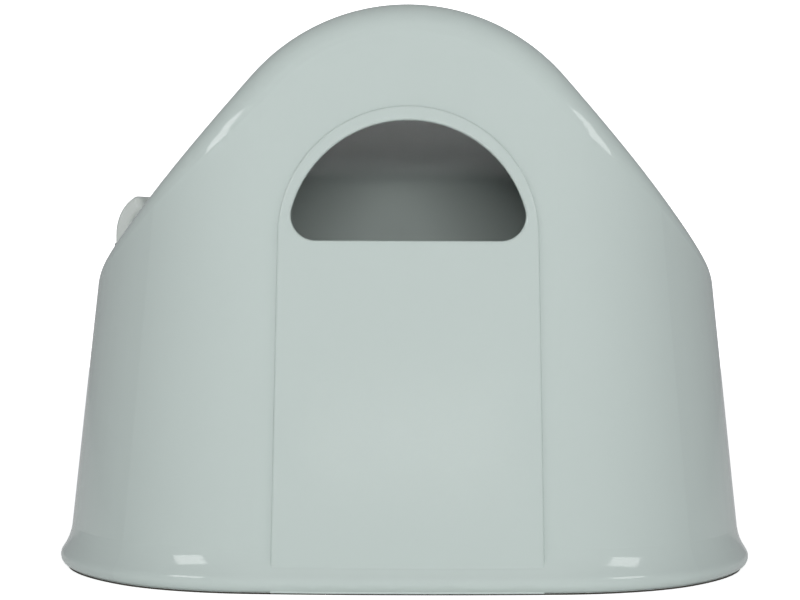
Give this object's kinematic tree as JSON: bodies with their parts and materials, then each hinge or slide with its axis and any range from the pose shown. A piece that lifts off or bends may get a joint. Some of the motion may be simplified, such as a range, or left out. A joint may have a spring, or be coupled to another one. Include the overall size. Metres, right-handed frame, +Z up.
{
  "type": "cat litter box with hood",
  "caption": "Cat litter box under a full-height domed hood with a half-moon entry, lift-out pan, anti-scatter rim, carry bail, carbon filter door and a hanging scoop.",
  "frame": {"origin": "on the floor at the middle of the hood's foot", "axes": "+X across the hood to its right seen from the entry side, +Y from the entry to the back, +Z up"},
  "size_m": [0.6398, 0.53, 0.503],
  "materials": {
    "shell": "high gloss moulding, pale grey-green",
    "pan": "fine satin moulding, mid grey",
    "rim": "high gloss moulding, pale grey-green",
    "strip": "dark matt non-slip rubber",
    "rubber": "dark matt rubber",
    "foam": "closed foam seal",
    "carbon": "black charcoal felt",
    "steel": "brushed steel",
    "grip": "soft grey rubber",
    "scoop": "glossy pale grey moulding",
    "trim": "satin moulding, grey-green"
  },
  "bodies": {
    "pan": {"litter_pan": "pan", "pan_feet": "rubber"},
    "rim": {"scatter_rim": "rim", "rim_seal": "foam"},
    "hood": {"hood_shell": "shell", "base_strip": "strip", "hood_spacers": "trim", "handle_dish": "trim", "handle_pins": "steel", "vent_frame": "trim", "frame_screws": "steel", "carbon_filter": "carbon", "cover_pin": "steel", "scoop_bracket": "trim", "bracket_screws": "steel", "bracket_nuts": "steel"},
    "handle": {"carry_handle": "shell", "handle_grip": "grip"},
    "cover": {"filter_cover": "trim", "cover_knob": "shell"},
    "scoop": {"litter_scoop": "scoop", "scoop_grip": "grip"}
  },
  "joints": [
    {"name": "hood_lift", "type": "slide", "parent": "pan", "child": "hood", "axis": [0, 0, 1], "range_m": [0, 0.3]},
    {"name": "rim_lift", "type": "slide", "parent": "pan", "child": "rim", "axis": [0, 0, 1], "range_m": [0, 0.03]},
    {"name": "handle_swing", "type": "hinge", "parent": "hood", "child": "handle", "pos_m": [0, 0.035, 0.481], "axis": [-1, 0, 0], "range_deg": [0, 90]},
    {"name": "cover_swing", "type": "hinge", "parent": "hood", "child": "cover", "pos_m": [0, 0.24581, 0.19252], "axis": [-1, 0, 0], "range_deg": [0, 120]},
    {"name": "scoop_lift", "type": "slide", "parent": "hood", "child": "scoop", "axis": [0, 0, 1], "range_m": [0, 0.15]}
  ]
}
